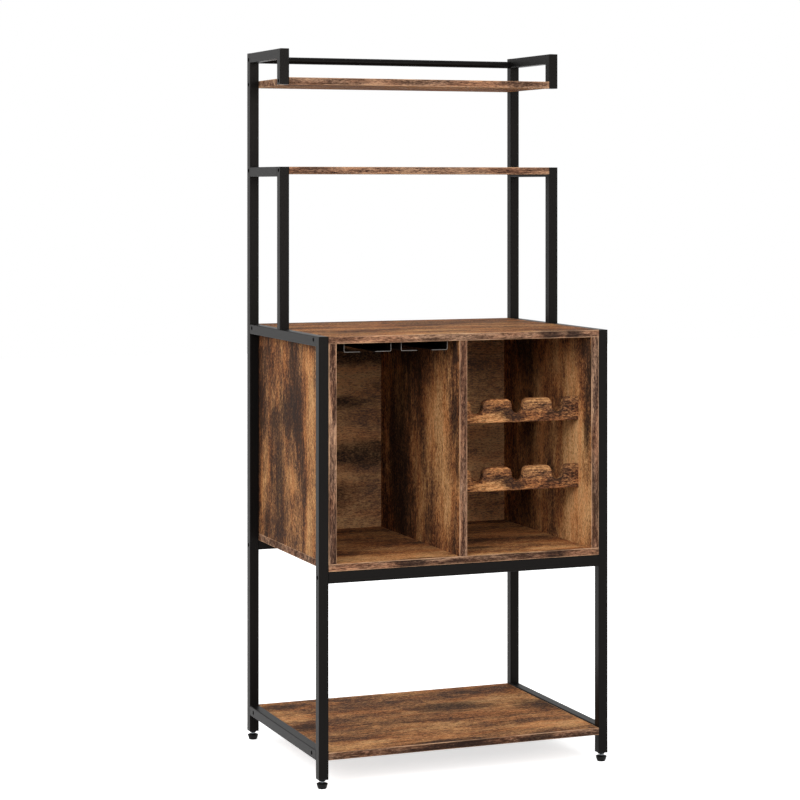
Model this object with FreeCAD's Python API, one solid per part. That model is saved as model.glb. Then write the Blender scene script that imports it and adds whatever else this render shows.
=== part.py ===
import FreeCAD, Part
import math
import os

from FreeCAD import Vector

# Kitchen shelving unit: a black square-tube steel frame that carries rustic boards.
# Millimetres, +Z up, the front faces -Y, and the origin is on the floor under the middle.


# Overall sizes
overall_width = 680.0
overall_depth = 500.0
overall_height = 1584.0
upper_depth = 240.0

# Steel tube of the frame
tube_size = 22.0
tube_wall = 1.2
tube_corner_radius = 2.0
front_cross_rail_height = 25.0
guard_bar_diameter = 16.0

# Boards and panels
board_thickness = 16.0
panel_thickness = 18.0
back_panel_thickness = 5.0
board_edge_radius = 1.0

# Heights above the floor
tube_end_height = 20.0
bottom_shelf_middle = 68.6
cabinet_floor_underside = 460.0
cabinet_top_height = 959.0
upper_shelf_spacing = 199.0
guard_height = 64.0
guard_bar_drop = 15.0

# Cabinet layout
glass_compartment_width = 283.0
back_panel_setback = 19.0
panel_groove_depth = 6.0
board_groove_depth = 5.0
groove_end_gap = 0.5

# Stemware rails: folded sheet hung under the cabinet top
stem_rail_sheet = 1.2
stem_rail_drop = 20.0
stem_rail_crown = 25.0
stem_rail_flange = 36.0
stem_slot_width = 34.0
stem_rail_bend_radius = 3.0
stem_rail_front_setback = 16.0
stem_rail_rear_setback = 16.0
stem_rail_wall_gap = 0.3

# Bottle racks: scalloped rails for three necks and three bodies
bottle_pitch = 98.0
bottle_count = 3
neck_diameter = 26.0
bottle_diameter = 75.0
bottle_clearance = 1.5
neck_rail_height = 52.0
body_rail_height = 44.0
neck_axis_height = 34.0
neck_shoulder_radius = 15.0
body_shoulder_radius = 4.0
wood_under_body = 12.0
bottle_rail_chamfer = 0.8
neck_rail_setback = 66.5
body_rail_setback = 262.0
rack_height_shares = {"lower": 0.274, "upper": 0.597}

# Frame bolts, driven through an access hole into the board ends
bolt_diameter = 5.0
bolt_length = 18.0
bolt_head_diameter = 8.5
bolt_head_length = 5.0
bolt_socket_width = 4.0
hexagon_sides = 6
bolt_socket_depth = 2.5
bolt_access_diameter = 9.2
bolt_hole_diameter = 5.6
cabinet_bolt_inset = 36.0
bottom_bolt_inset = 47.0
insert_diameter = 8.0
insert_length = 15.0
insert_hole_depth = 18.0
nut_plug_length = 12.0

# Dowels and screws
dowel_diameter = 8.0
dowel_inset = 80.0
dowel_depth_in_board = 11.0
dowel_depth_in_panel = 20.0
rail_dowel_depth_in_panel = 11.0
rail_dowel_depth_in_rail = 14.0
rail_dowel_low = 9.0
rail_dowel_high = 26.0
dowel_end_gap = 0.5
screw_diameter = 4.0
screw_head_diameter = 8.0
screw_head_height = 2.4
screw_access_clearance = 1.0
screw_bite = 12.0
stem_screw_inset = 40.0
stem_screw_count = 3
floor_screw_inset = 90.0
floor_screw_count = 3

# Closing plates and levelling feet
closing_plate_thickness = 1.5
foot_insert_flange = 2.0
foot_insert_length = 24.0
foot_insert_collar_diameter = 14.0
foot_insert_collar_height = 3.5
stud_diameter = 8.0
stud_length = 47.0
stud_clearance = 0.08
pad_rim_diameter = 24.0
pad_base_diameter = 18.0
pad_crown_diameter = 15.0
pad_rim_height = 11.0
pad_rim_band = 1.0
pad_height = 13.0
pad_floor = 3.0
pad_edge_radius = 2.0

# Fits shared by all pieces
pin_clearance = 0.05
plug_corner_radius = 1.6
cut_overrun = 2.0


# Places worked out from the sizes above
left_outer = -overall_width / 2
left_inner = left_outer + tube_size
front = -overall_depth / 2
back = overall_depth / 2
upper_front = back - upper_depth
tube_bore = tube_size - 2 * tube_wall
front_post_y = front + tube_size / 2
mid_post_y = upper_front + tube_size / 2
rear_post_y = back - tube_size / 2

top_shelf_height = overall_height - guard_height
second_shelf_height = top_shelf_height - upper_shelf_spacing
bottom_rail_top = bottom_shelf_middle + tube_size / 2
bottom_board_top = bottom_shelf_middle + board_thickness / 2
cabinet_floor_top = cabinet_floor_underside + board_thickness
cabinet_ceiling = cabinet_top_height - board_thickness
second_shelf_underside = second_shelf_height - board_thickness
top_shelf_underside = top_shelf_height - board_thickness
cabinet_top_middle = cabinet_top_height - board_thickness / 2
second_shelf_middle = second_shelf_height - board_thickness / 2
top_shelf_middle = top_shelf_height - board_thickness / 2
front_cross_middle = cabinet_floor_underside - front_cross_rail_height / 2
rear_cross_middle = cabinet_floor_underside - tube_size / 2
guard_bar_height = overall_height - guard_bar_drop

panel_left_inner = left_inner + panel_thickness
divider_left = panel_left_inner + glass_compartment_width
divider_right = divider_left + panel_thickness
panel_right_inner = -panel_left_inner
back_panel_rear = back - back_panel_setback
back_panel_front = back_panel_rear - back_panel_thickness

glass_middle = (panel_left_inner + divider_left) / 2
bottle_middle = (divider_right + panel_right_inner) / 2
bottle_columns = [bottle_middle + bottle_pitch * (i - (bottle_count - 1) / 2) for i in range(bottle_count)]
rack_heights = {level: cabinet_floor_top + share * (cabinet_ceiling - cabinet_floor_top)
                for level, share in rack_height_shares.items()}
neck_rail_y = front + neck_rail_setback
body_rail_y = front + body_rail_setback
neck_notch_radius = neck_diameter / 2 + bottle_clearance
body_notch_radius = bottle_diameter / 2 + bottle_clearance
body_axis_height = wood_under_body + body_notch_radius
dowel_rows = [front + dowel_inset, back - dowel_inset]

# Bolt places on the left side, as (y, z); the right side mirrors them
board_bolts = {
    "top_shelf": [(mid_post_y, top_shelf_middle), (rear_post_y, top_shelf_middle)],
    "second_shelf": [(mid_post_y, second_shelf_middle), (rear_post_y, second_shelf_middle)],
    "cabinet_top": [(front + cabinet_bolt_inset, cabinet_top_middle),
                    (back - cabinet_bolt_inset, cabinet_top_middle)],
    "bottom_shelf": [(front + bottom_bolt_inset, bottom_shelf_middle),
                     (back - bottom_bolt_inset, bottom_shelf_middle)],
}
cross_bolts = {
    "front": (front_post_y, front_cross_middle),
    "rear": (rear_post_y, rear_cross_middle),
    "guard": (rear_post_y, guard_bar_height),
}


# Simple solids
def block(x_low, x_high, y_low, y_high, z_low, z_high):
    return Part.makeBox(x_high - x_low, y_high - y_low, z_high - z_low, Vector(x_low, y_low, z_low))


def rod(radius, start, direction, length):
    return Part.makeCylinder(radius, length, start, direction)


def along_x(radius, x_low, x_high, y, z):
    return rod(radius, Vector(x_low, y, z), Vector(1, 0, 0), x_high - x_low)


def along_z(radius, x, y, z_low, z_high):
    return rod(radius, Vector(x, y, z_low), Vector(0, 0, 1), z_high - z_low)


def mirrored(shape):
    return shape.mirror(Vector(0, 0, 0), Vector(1, 0, 0))


def both_sides(shape):
    return [shape, mirrored(shape)]


def group(solids):
    return Part.makeCompound(solids)


def cut_all(shape, cutters):
    for cutter in cutters:
        shape = shape.cut(cutter)
    return shape


def place(axis, along, a, b):
    # A point at a distance along a tube's axis, with a and b across it
    if axis == "x":
        return Vector(along, a, b)
    if axis == "y":
        return Vector(a, along, b)
    return Vector(a, b, along)


def rounded_outline(axis, along, a, b, width, height, radius):
    # Four sides and four quarter arcs round the middle (a, b)
    corners = [(1, 1), (-1, 1), (-1, -1), (1, -1)]
    middle_share = math.sqrt(1 / 2)
    edges = []
    starts = []
    ends = []
    for index, (side_a, side_b) in enumerate(corners):
        centre_a = a + side_a * (width / 2 - radius)
        centre_b = b + side_b * (height / 2 - radius)
        on_a = (centre_a + side_a * radius, centre_b)
        on_b = (centre_a, centre_b + side_b * radius)
        middle = (centre_a + side_a * radius * middle_share, centre_b + side_b * radius * middle_share)
        first, last = (on_a, on_b) if index % 2 == 0 else (on_b, on_a)
        points = [place(axis, along, *point) for point in (first, middle, last)]
        edges.append(Part.Arc(*points).toShape())
        starts.append(points[0])
        ends.append(points[2])
    for index in range(len(corners)):
        edges.append(Part.LineSegment(ends[index], starts[(index + 1) % len(corners)]).toShape())
    return Part.Wire(Part.__sortEdges__(edges))


def rounded_bar(axis, low, high, a, b, width, height, radius):
    outline = rounded_outline(axis, low, a, b, width, height, radius)
    return Part.Face(outline).extrude(place(axis, high - low, 0, 0))


def square_tube(axis, low, high, a, b, width=tube_size, height=tube_size):
    outside = rounded_bar(axis, low, high, a, b, width, height, tube_corner_radius)
    inside = rounded_bar(axis, low - cut_overrun, high + cut_overrun, a, b,
                         width - 2 * tube_wall, height - 2 * tube_wall, tube_corner_radius - tube_wall)
    return outside.cut(inside)


def prism_along_x(outline, x_low, x_high):
    # A solid with the given outline of (y, z) points
    points = [Vector(x_low, y, z) for y, z in outline]
    return Part.Face(Part.makePolygon(points + points[:1])).extrude(Vector(x_high - x_low, 0, 0))


def mitre_cutter(y_corner, z_corner, keep):
    # The half of a corner square that the mitre takes off a post or a rail
    reach = tube_size + cut_overrun
    high_front = (y_corner - cut_overrun, z_corner + cut_overrun)
    low_back = (y_corner + reach, z_corner - reach)
    third = (y_corner + reach, z_corner + cut_overrun)
    if keep == "rail":
        third = (y_corner - cut_overrun, z_corner - reach)
    return prism_along_x([high_front, low_back, third], left_outer - cut_overrun, left_inner + cut_overrun)


def edges_along(shape, direction):
    # Straight edges that run along a unit direction
    found = []
    for edge in shape.Edges:
        if not isinstance(edge.Curve, Part.Line):
            continue
        if abs(edge.tangentAt(edge.FirstParameter).dot(direction)) > 1 - 1e-6:
            found.append(edge)
    return found


def eased(shape, direction):
    # Takes the sharpness off a board's long edges
    return shape.makeFillet(board_edge_radius, edges_along(shape, direction))


def bolt_holes(points):
    # Access hole in the outer wall and shank hole in the inner wall, on the left side
    cutters = []
    for y, z in points:
        cutters.append(along_x(bolt_access_diameter / 2, left_outer - cut_overrun,
                               left_outer + tube_wall + cut_overrun, y, z))
        cutters.append(along_x(bolt_hole_diameter / 2, left_inner - tube_wall - cut_overrun,
                               left_inner + cut_overrun, y, z))
    return cutters


def insert_holes(points):
    # Blind holes for the threaded inserts in both ends of a board
    cutters = []
    for y, z in points:
        hole = along_x(insert_diameter / 2 + pin_clearance, left_inner - cut_overrun,
                       left_inner + insert_hole_depth, y, z)
        cutters.extend(both_sides(hole))
    return cutters


# Steel frame
def front_post():
    # Mitred at the top where the cabinet-top rail turns back
    post = square_tube("z", tube_end_height + foot_insert_flange, cabinet_top_height,
                       left_outer + tube_size / 2, front_post_y)
    post = post.cut(mitre_cutter(front, cabinet_top_height, "post"))
    return cut_all(post, bolt_holes([cross_bolts["front"]]))


def rear_upright():
    # Full height, closed by a plate at the top
    post = square_tube("z", tube_end_height + foot_insert_flange, overall_height - closing_plate_thickness,
                       left_outer + tube_size / 2, rear_post_y)
    points = [cross_bolts["rear"], cross_bolts["guard"], board_bolts["top_shelf"][1],
              board_bolts["second_shelf"][1]]
    return cut_all(post, bolt_holes(points))


def mid_post():
    # Stands on the cabinet-top rail and is closed level with the second shelf
    post = square_tube("z", cabinet_top_height, second_shelf_height - closing_plate_thickness,
                       left_outer + tube_size / 2, mid_post_y)
    return cut_all(post, bolt_holes([board_bolts["second_shelf"][0]]))


def side_rail(y_low, top):
    # A rail that runs back to the rear upright
    return square_tube("y", y_low, back - tube_size, left_outer + tube_size / 2, top - tube_size / 2)


def guard_top_rail():
    return side_rail(upper_front, overall_height).cut(mitre_cutter(upper_front, overall_height, "rail"))


def guard_drop():
    # Short tube down to the underside of the top shelf, closed at its lower end
    post = square_tube("z", top_shelf_underside + closing_plate_thickness, overall_height,
                       left_outer + tube_size / 2, mid_post_y)
    post = post.cut(mitre_cutter(upper_front, overall_height, "post"))
    return cut_all(post, bolt_holes([board_bolts["top_shelf"][0]]))


def second_shelf_rail():
    return side_rail(upper_front + tube_size, second_shelf_height)


def cabinet_top_rail():
    rail = side_rail(front, cabinet_top_height).cut(mitre_cutter(front, cabinet_top_height, "rail"))
    return cut_all(rail, bolt_holes(board_bolts["cabinet_top"]))


def bottom_rail():
    rail = side_rail(front + tube_size, bottom_rail_top)
    return cut_all(rail, bolt_holes(board_bolts["bottom_shelf"]))


def floor_screw_columns():
    # Screw places along a cross rail
    low = left_inner + floor_screw_inset
    step = -2 * low / (floor_screw_count - 1)
    return [low + step * i for i in range(floor_screw_count)]


def cross_rail(y, height):
    # A screw hole through the upper wall, and under it a wider hole that lets the head in
    middle = cabinet_floor_underside - height / 2
    rail = square_tube("x", left_inner, -left_inner, y, middle, tube_size, height)
    holes = []
    for x in floor_screw_columns():
        holes.append(along_z(screw_diameter / 2 + pin_clearance, x, y, middle,
                             cabinet_floor_underside + cut_overrun))
        holes.append(along_z(screw_head_diameter / 2 + screw_access_clearance, x, y,
                             cabinet_floor_underside - height - cut_overrun, middle))
    return cut_all(rail, holes)


def guard_rear_bar():
    # Round tube between the two uprights
    outside = along_x(guard_bar_diameter / 2, left_inner, -left_inner, *cross_bolts["guard"])
    bore = along_x(guard_bar_diameter / 2 - tube_wall, left_inner - cut_overrun,
                   -left_inner + cut_overrun, *cross_bolts["guard"])
    return outside.cut(bore)


# Boards and panels
def shelf_board(y_low, top, points):
    board = block(left_inner, -left_inner, y_low, back, top - board_thickness, top)
    return cut_all(eased(board, Vector(1, 0, 0)), insert_holes(points))


def carcass_dowel_places():
    # Middles of the dowels at the ends of the side panels and the divider
    columns = [left_inner + panel_thickness / 2, divider_left + panel_thickness / 2,
               -left_inner - panel_thickness / 2]
    return [(x, y) for x in columns for y in dowel_rows]


def dowel_holes(places, z_low, z_high):
    return [along_z(dowel_diameter / 2 + pin_clearance, x, y, z_low, z_high) for x, y in places]


def board_groove(z_low, z_high):
    # Groove across the cabinet floor or top for the back panel
    reach = panel_groove_depth + pin_clearance
    return block(panel_left_inner - reach, panel_right_inner + reach,
                 back_panel_front - pin_clearance, back_panel_rear + pin_clearance, z_low, z_high)


def stem_screw_places():
    # Screws through the crown of each stemware rail
    low = front + stem_rail_front_setback + stem_screw_inset
    high = back_panel_front - stem_rail_rear_setback - stem_screw_inset
    step = (high - low) / (stem_screw_count - 1)
    rows = [low + step * i for i in range(stem_screw_count)]
    crown_middle = (glass_compartment_width / 2 + stem_side_web()) / 2
    columns = [glass_middle - crown_middle, glass_middle, glass_middle + crown_middle]
    return [(x, y) for x in columns for y in rows]


def cabinet_top_board():
    board = shelf_board(front, cabinet_top_height, board_bolts["cabinet_top"])
    cutters = dowel_holes(carcass_dowel_places(), cabinet_ceiling - cut_overrun,
                          cabinet_ceiling + dowel_depth_in_board)
    cutters.append(board_groove(cabinet_ceiling - cut_overrun, cabinet_ceiling + board_groove_depth))
    for x, y in stem_screw_places():
        cutters.append(along_z(screw_diameter / 2 + pin_clearance, x, y,
                               cabinet_ceiling - cut_overrun, cabinet_ceiling + screw_bite))
    return cut_all(board, cutters)


def cabinet_floor_board():
    board = shelf_board(front, cabinet_floor_top, [])
    cutters = dowel_holes(carcass_dowel_places(), cabinet_floor_top - dowel_depth_in_board,
                          cabinet_floor_top + cut_overrun)
    cutters.append(board_groove(cabinet_floor_top - board_groove_depth, cabinet_floor_top + cut_overrun))
    for x in floor_screw_columns():
        for y in (front_post_y, rear_post_y):
            cutters.append(along_z(screw_diameter / 2 + pin_clearance, x, y,
                                   cabinet_floor_underside - cut_overrun,
                                   cabinet_floor_underside + screw_bite))
    return cut_all(board, cutters)


def upright_panel(x_low, y_high):
    # A cabinet panel with dowel holes in both ends
    panel = block(x_low, x_low + panel_thickness, front, y_high, cabinet_floor_top, cabinet_ceiling)
    panel = eased(panel, Vector(0, 0, 1))
    places = [(x_low + panel_thickness / 2, y) for y in dowel_rows]
    cutters = dowel_holes(places, cabinet_floor_top - cut_overrun, cabinet_floor_top + dowel_depth_in_panel)
    cutters += dowel_holes(places, cabinet_ceiling - dowel_depth_in_panel, cabinet_ceiling + cut_overrun)
    return cut_all(panel, cutters)


def side_panel():
    # The left panel, grooved for the back panel
    groove = block(panel_left_inner - panel_groove_depth - pin_clearance, panel_left_inner + cut_overrun,
                   back_panel_front - pin_clearance, back_panel_rear + pin_clearance,
                   cabinet_floor_top - cut_overrun, cabinet_ceiling + cut_overrun)
    return upright_panel(left_inner, back).cut(groove)


def back_panel():
    reach = panel_groove_depth - groove_end_gap
    rise = board_groove_depth - groove_end_gap
    return block(panel_left_inner - reach, panel_right_inner + reach, back_panel_front, back_panel_rear,
                 cabinet_floor_top - rise, cabinet_ceiling + rise)


# Stemware rails
def stem_side_web():
    # Distance of a side rail's web from the middle of the compartment
    return stem_rail_crown / 2 + 2 * stem_rail_flange + stem_slot_width


def nearest_fold(solid, point):
    # The edge along the strip whose middle is nearest to a point
    return min(edges_along(solid, Vector(0, 1, 0)), key=lambda e: e.CenterOfMass.distanceToPoint(point))


def folded_sheet(outline, y_low, y_high):
    # A folded strip: a sharp outline of (x, z) points, then the bends rounded inside and out
    points = [Vector(x, y_low, z) for x, z in outline]
    solid = Part.Face(Part.makePolygon(points + points[:1])).extrude(Vector(0, y_high - y_low, 0))
    inner_bends = []
    outer_bends = []
    count = len(outline)
    for index, (x, z) in enumerate(outline):
        before = outline[index - 1]
        after = outline[(index + 1) % count]
        lengths = [math.hypot(x - before[0], z - before[1]), math.hypot(after[0] - x, after[1] - z)]
        if min(lengths) < 2 * stem_rail_sheet:
            continue
        turn = (x - before[0]) * (after[1] - z) - (z - before[1]) * (after[0] - x)
        corner = Vector(x, (y_low + y_high) / 2, z)
        (outer_bends if turn > 0 else inner_bends).append(nearest_fold(solid, corner))
    spin = sum(a[0] * b[1] - a[1] * b[0] for a, b in zip(outline, outline[1:] + outline[:1]))
    if spin < 0:
        inner_bends, outer_bends = outer_bends, inner_bends
    solid_edges = [(edge, stem_rail_bend_radius) for edge in outer_bends]
    solid_edges += [(edge, stem_rail_bend_radius - stem_rail_sheet) for edge in inner_bends]
    for edge, radius in solid_edges:
        solid = solid.makeFillet(radius, [nearest_fold(solid, edge.CenterOfMass)])
    return solid


def stem_screw_holes(rail_middle):
    near = [p for p in stem_screw_places() if abs(p[0] - rail_middle) < stem_rail_crown]
    return [along_z(screw_diameter / 2 + pin_clearance, x, y, cabinet_ceiling - stem_rail_drop,
                    cabinet_ceiling + cut_overrun) for x, y in near]


def middle_stem_rail():
    # Hat section: the crown against the board, a flange each side for the feet of the glasses
    half = stem_rail_crown / 2
    tip = half + stem_rail_flange
    top = cabinet_ceiling
    low = top - stem_rail_drop
    right = [(half, top), (half, low + stem_rail_sheet), (tip, low + stem_rail_sheet), (tip, low),
             (half - stem_rail_sheet, low), (half - stem_rail_sheet, top - stem_rail_sheet)]
    left = [(-x, z) for x, z in reversed(right)]
    outline = [(glass_middle + x, z) for x, z in right + left]
    rail = folded_sheet(outline, front + stem_rail_front_setback, back_panel_front - stem_rail_rear_setback)
    return cut_all(rail, stem_screw_holes(glass_middle))


def side_stem_rail(side):
    # Z section against the cabinet wall, one flange towards the middle
    web = stem_side_web()
    wall = glass_compartment_width / 2 - stem_rail_wall_gap
    top = cabinet_ceiling
    low = top - stem_rail_drop
    outline = [(wall, top), (web, top), (web, low + stem_rail_sheet),
               (web - stem_rail_flange, low + stem_rail_sheet), (web - stem_rail_flange, low),
               (web + stem_rail_sheet, low), (web + stem_rail_sheet, top - stem_rail_sheet),
               (wall, top - stem_rail_sheet)]
    outline = [(glass_middle + side * x, z) for x, z in outline]
    rail = folded_sheet(outline, front + stem_rail_front_setback, back_panel_front - stem_rail_rear_setback)
    return cut_all(rail, stem_screw_holes(glass_middle + side * (web + wall) / 2))


# Bottle racks
def bottle_rail(y_low, bottom, height, axis_height, notch_radius, shoulder_radius):
    # A board on edge with a round notch for each bottle and rounded shoulders beside it
    top = bottom + height
    rail = block(divider_right, panel_right_inner, y_low, y_low + board_thickness, bottom, top)
    centre = bottom + axis_height
    for x in bottle_columns:
        rail = rail.cut(rod(notch_radius, Vector(x, y_low - cut_overrun, centre), Vector(0, 1, 0),
                            board_thickness + 2 * cut_overrun))
        if centre < top:
            rail = rail.cut(block(x - notch_radius, x + notch_radius, y_low - cut_overrun,
                                  y_low + board_thickness + cut_overrun, centre, top + cut_overrun))
    half_width = (panel_right_inner - divider_right) / 2 - board_edge_radius
    shoulders = [edge for edge in edges_along(rail, Vector(0, 1, 0))
                 if abs(edge.CenterOfMass.z - top) < pin_clearance
                 and abs(edge.CenterOfMass.x - bottle_middle) < half_width]
    rail = rail.makeFillet(shoulder_radius, shoulders)
    outline = [edge for edge in rail.Edges
               if abs(edge.BoundBox.YLength) < pin_clearance and edge.BoundBox.XLength > pin_clearance]
    return rail.makeChamfer(bottle_rail_chamfer, outline)


def rail_dowel_rows():
    # (y, z) of every dowel at one end of the bottle rails
    rows = []
    for bottom in rack_heights.values():
        rows += [(neck_rail_y + board_thickness / 2, bottom + z) for z in (rail_dowel_low, rail_dowel_high)]
        low = bottom + neck_axis_height - body_axis_height
        rows += [(body_rail_y + board_thickness / 2, low + z) for z in (rail_dowel_low, rail_dowel_high)]
    return rows


def rail_dowel_holes(x_low, x_high):
    return [along_x(dowel_diameter / 2 + pin_clearance, x_low, x_high, y, z) for y, z in rail_dowel_rows()]


def drilled_rail(rail):
    deep = rail_dowel_depth_in_rail
    cutters = rail_dowel_holes(divider_right - cut_overrun, divider_right + deep)
    cutters += rail_dowel_holes(panel_right_inner - deep, panel_right_inner + cut_overrun)
    return cut_all(rail, [c for c in cutters if c.BoundBox.intersect(rail.BoundBox)])


def neck_rail(bottom):
    return drilled_rail(bottle_rail(neck_rail_y, bottom, neck_rail_height, neck_axis_height,
                                    neck_notch_radius, neck_shoulder_radius))


def body_rail(bottom):
    # Lower than the neck rail, so that a bottle lies level in both
    low = bottom + neck_axis_height - body_axis_height
    return drilled_rail(bottle_rail(body_rail_y, low, body_rail_height, body_axis_height,
                                    body_notch_radius, body_shoulder_radius))


def divider_panel():
    panel = upright_panel(divider_left, back_panel_front)
    return cut_all(panel, rail_dowel_holes(divider_right - rail_dowel_depth_in_panel,
                                           divider_right + cut_overrun))


def right_side_panel():
    return cut_all(mirrored(side_panel()), rail_dowel_holes(panel_right_inner - cut_overrun,
                                                            panel_right_inner + rail_dowel_depth_in_panel))


# Fasteners
def hexagon(width):
    # Corners of a hexagon that is so wide across its flats
    half_side_angle = math.pi / hexagon_sides
    radius = width / 2 / math.cos(half_side_angle)
    turns = [2 * half_side_angle * i for i in range(hexagon_sides)]
    return [(radius * math.cos(turn), radius * math.sin(turn)) for turn in turns]


def frame_bolt(y, z):
    # Socket-head bolt whose head bears on the inside of the tube's inner wall
    seat = left_inner - tube_wall
    head = along_x(bolt_head_diameter / 2, seat - bolt_head_length, seat, y, z)
    shank = along_x(bolt_diameter / 2, seat, seat + bolt_length, y, z)
    corners = [(y + a, z + b) for a, b in hexagon(bolt_socket_width)]
    socket = prism_along_x(corners, seat - bolt_head_length - cut_overrun,
                           seat - bolt_head_length + bolt_socket_depth)
    return head.fuse(shank).cut(socket).removeSplitter()


def all_bolt_points():
    points = [point for pair in board_bolts.values() for point in pair]
    return points + list(cross_bolts.values())


def board_insert(y, z):
    # Threaded sleeve in the end of a board
    sleeve = along_x(insert_diameter / 2, left_inner, left_inner + insert_length, y, z)
    return sleeve.cut(along_x(bolt_diameter / 2 + pin_clearance, left_inner - cut_overrun,
                              left_inner + insert_length + cut_overrun, y, z))


def nut_plug(name):
    # Plug with a threaded hole in the end of a cross rail or of the guard bar
    y, z = cross_bolts[name]
    if name == "guard":
        plug = along_x(guard_bar_diameter / 2 - tube_wall - pin_clearance, left_inner,
                       left_inner + nut_plug_length, y, z)
    else:
        height = front_cross_rail_height if name == "front" else tube_size
        plug = rounded_bar("x", left_inner, left_inner + nut_plug_length, y, z, tube_bore,
                           height - 2 * tube_wall, plug_corner_radius)
    return plug.cut(along_x(bolt_diameter / 2 + pin_clearance, left_inner - cut_overrun,
                            left_inner + bolt_length, y, z))


def carcass_dowels():
    # From the ends of the panels into the cabinet floor and into the cabinet top
    in_panel = dowel_depth_in_panel - dowel_end_gap
    in_board = dowel_depth_in_board - dowel_end_gap
    lows = [cabinet_floor_top - in_board, cabinet_ceiling - in_panel]
    return [along_z(dowel_diameter / 2, x, y, low, low + in_panel + in_board)
            for x, y in carcass_dowel_places() for low in lows]


def rail_dowels():
    into_panel = rail_dowel_depth_in_panel - dowel_end_gap
    into_rail = rail_dowel_depth_in_rail - dowel_end_gap
    spans = [(divider_right - into_panel, divider_right + into_rail),
             (panel_right_inner - into_rail, panel_right_inner + into_panel)]
    return [along_x(dowel_diameter / 2, low, high, y, z)
            for y, z in rail_dowel_rows() for low, high in spans]


def screw(x, y, seat, grip):
    # Pan-head screw driven upwards: the head hangs below its seat
    head = along_z(screw_head_diameter / 2, x, y, seat - screw_head_height, seat)
    shank = along_z(screw_diameter / 2, x, y, seat, seat + grip)
    return head.fuse(shank).removeSplitter()


def stemware_screws():
    reach = stem_rail_sheet + screw_bite - dowel_end_gap
    return [screw(x, y, cabinet_ceiling - stem_rail_sheet, reach) for x, y in stem_screw_places()]


def floor_screws():
    # Each head bears inside a cross rail, on the rail's upper wall
    reach = tube_wall + screw_bite - dowel_end_gap
    return [screw(x, y, cabinet_floor_underside - tube_wall, reach)
            for x in floor_screw_columns() for y in (front_post_y, rear_post_y)]


# Closing plates and feet
def closing_plates():
    # Thin plates welded flush on the open ends of posts and drops
    x = left_outer + tube_size / 2
    ends = [(rear_post_y, overall_height - closing_plate_thickness),
            (mid_post_y, second_shelf_height - closing_plate_thickness),
            (mid_post_y, top_shelf_underside)]
    plates = [rounded_bar("z", low, low + closing_plate_thickness, x, y, tube_size, tube_size,
                          tube_corner_radius) for y, low in ends]
    return plates + [mirrored(plate) for plate in plates]


def foot_insert(x, y):
    # Plug with a threaded bore in the lower end of a post, a flange under it and a round collar below
    low = tube_end_height + foot_insert_flange
    flange = rounded_bar("z", tube_end_height, low, x, y, tube_size, tube_size, tube_corner_radius)
    body = rounded_bar("z", low, low + foot_insert_length, x, y, tube_bore, tube_bore, plug_corner_radius)
    collar = along_z(foot_insert_collar_diameter / 2, x, y, tube_end_height - foot_insert_collar_height,
                     tube_end_height)
    bore = along_z(stud_diameter / 2 + stud_clearance, x, y,
                   tube_end_height - foot_insert_collar_height - cut_overrun,
                   low + foot_insert_length + cut_overrun)
    return flange.fuse(body).fuse(collar).removeSplitter().cut(bore)


def levelling_stud(x, y):
    return along_z(stud_diameter / 2, x, y, pad_floor, pad_floor + stud_length)


def levelling_pad(x, y):
    # Turned shape: flat base, flared side, narrow rim band and a low cone up to the stud
    half = (pad_base_diameter / 2, pad_rim_diameter / 2, pad_crown_diameter / 2)
    outline = [(0, 0), (half[0], 0), (half[1], pad_rim_height - pad_rim_band), (half[1], pad_rim_height),
               (half[2], pad_height), (0, pad_height)]
    points = [Vector(x + r, y, z) for r, z in outline]
    face = Part.Face(Part.makePolygon(points + points[:1]))
    pad = face.revolve(Vector(x, y, 0), Vector(0, 0, 1), 360)
    base_edges = [edge for edge in pad.Edges if edge.BoundBox.ZMax < pin_clearance
                  and edge.BoundBox.XLength > pad_base_diameter / 2]
    pad = pad.makeFillet(pad_edge_radius, base_edges)
    return pad.cut(along_z(stud_diameter / 2 + pin_clearance, x, y, pad_floor, pad_height + cut_overrun))


def foot_places():
    x = left_outer + tube_size / 2
    return {
        "front_left": (x, front_post_y),
        "front_right": (-x, front_post_y),
        "rear_left": (x, rear_post_y),
        "rear_right": (-x, rear_post_y),
    }


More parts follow.
